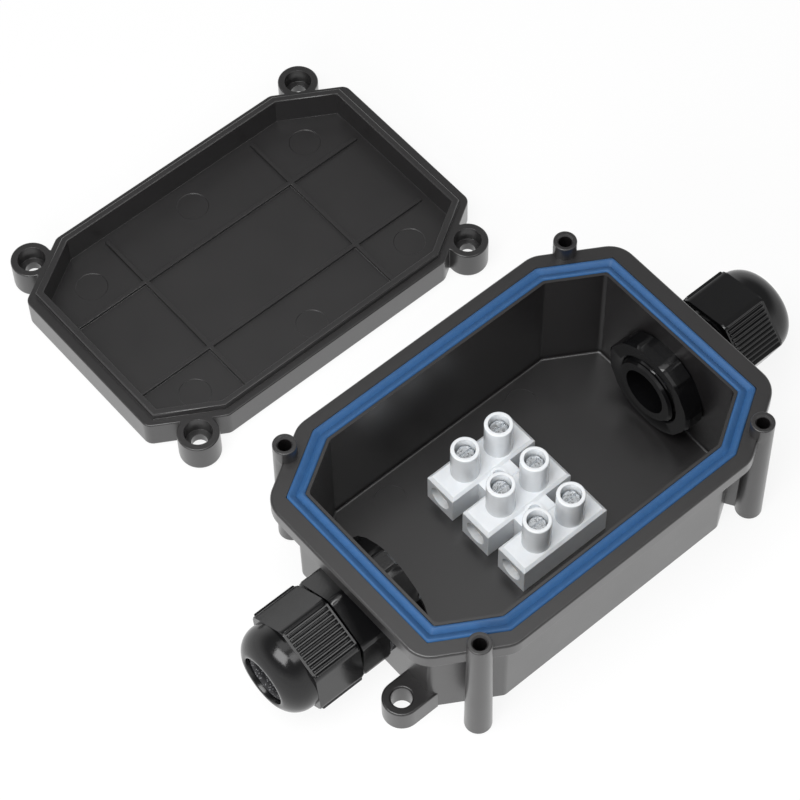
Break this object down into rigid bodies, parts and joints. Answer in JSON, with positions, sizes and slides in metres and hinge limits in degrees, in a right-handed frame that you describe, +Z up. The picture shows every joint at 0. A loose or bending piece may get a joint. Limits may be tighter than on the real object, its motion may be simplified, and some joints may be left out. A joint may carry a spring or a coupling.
{
  "type": "surface junction box",
  "caption": "Open surface junction box with cut corners, a gasketed flange, end cable glands and an inner terminal strip; its shallow ribbed lid lies upside down beside it.",
  "frame": {"origin": "centre of the flat underside of the box body, on the surface that it is fixed to", "axes": "+X along the two glands, +Y from the box towards the lid that lies beside it, +Z up out of the open mouth"},
  "size_m": [0.1324, 0.1469, 0.0332],
  "materials": {
    "housing_plastic": "black moulded, satin",
    "gland_plastic": "black moulded, glossy",
    "gasket_rubber": "blue soft sealing ring",
    "seal_rubber": "black soft rubber",
    "terminal_plastic": "milky translucent",
    "plated_metal": "nickel plated",
    "screw_steel": "zinc plated"
  },
  "bodies": {
    "box": {"box_body": "housing_plastic", "gasket": "gasket_rubber", "lid": "housing_plastic", "gland_body_left": "gland_plastic", "gland_body_right": "gland_plastic", "gland_washer_left": "seal_rubber", "gland_washer_right": "seal_rubber", "lock_nut_left": "gland_plastic", "lock_nut_right": "gland_plastic", "gland_seal_left": "seal_rubber", "gland_seal_right": "seal_rubber", "terminal_housing": "terminal_plastic", "terminal_tube_1": "plated_metal", "terminal_tube_2": "plated_metal", "terminal_tube_3": "plated_metal"},
    "left_dome_nut": {"dome_nut_left": "gland_plastic"},
    "right_dome_nut": {"dome_nut_right": "gland_plastic"},
    "screw_1_left": {"terminal_screw_1_left": "screw_steel"},
    "screw_1_right": {"terminal_screw_1_right": "screw_steel"},
    "screw_2_left": {"terminal_screw_2_left": "screw_steel"},
    "screw_2_right": {"terminal_screw_2_right": "screw_steel"},
    "screw_3_left": {"terminal_screw_3_left": "screw_steel"},
    "screw_3_right": {"terminal_screw_3_right": "screw_steel"}
  },
  "joints": [
    {"name": "turn_left_nut", "type": "hinge", "parent": "box", "child": "left_dome_nut", "pos_m": [-0.0409, 0, 0.0138], "axis": [-1, 0, 0], "range_deg": [0, 720]},
    {"name": "turn_right_nut", "type": "hinge", "parent": "box", "child": "right_dome_nut", "pos_m": [0.0409, 0, 0.0138], "axis": [1, 0, 0], "range_deg": [0, 720]},
    {"name": "turn_screw_1_left", "type": "hinge", "parent": "box", "child": "screw_1_left", "pos_m": [-0.00481, -0.00965, 0.014], "axis": [0, 0, 1], "range_deg": [0, 720]},
    {"name": "turn_screw_1_right", "type": "hinge", "parent": "box", "child": "screw_1_right", "pos_m": [0.00402, -0.00965, 0.014], "axis": [0, 0, 1], "range_deg": [0, 720]},
    {"name": "turn_screw_2_left", "type": "hinge", "parent": "box", "child": "screw_2_left", "pos_m": [-0.00481, 0.00095, 0.014], "axis": [0, 0, 1], "range_deg": [0, 720]},
    {"name": "turn_screw_2_right", "type": "hinge", "parent": "box", "child": "screw_2_right", "pos_m": [0.00402, 0.00095, 0.014], "axis": [0, 0, 1], "range_deg": [0, 720]},
    {"name": "turn_screw_3_left", "type": "hinge", "parent": "box", "child": "screw_3_left", "pos_m": [-0.00481, 0.01155, 0.014], "axis": [0, 0, 1], "range_deg": [0, 720]},
    {"name": "turn_screw_3_right", "type": "hinge", "parent": "box", "child": "screw_3_right", "pos_m": [0.00402, 0.01155, 0.014], "axis": [0, 0, 1], "range_deg": [0, 720]}
  ]
}
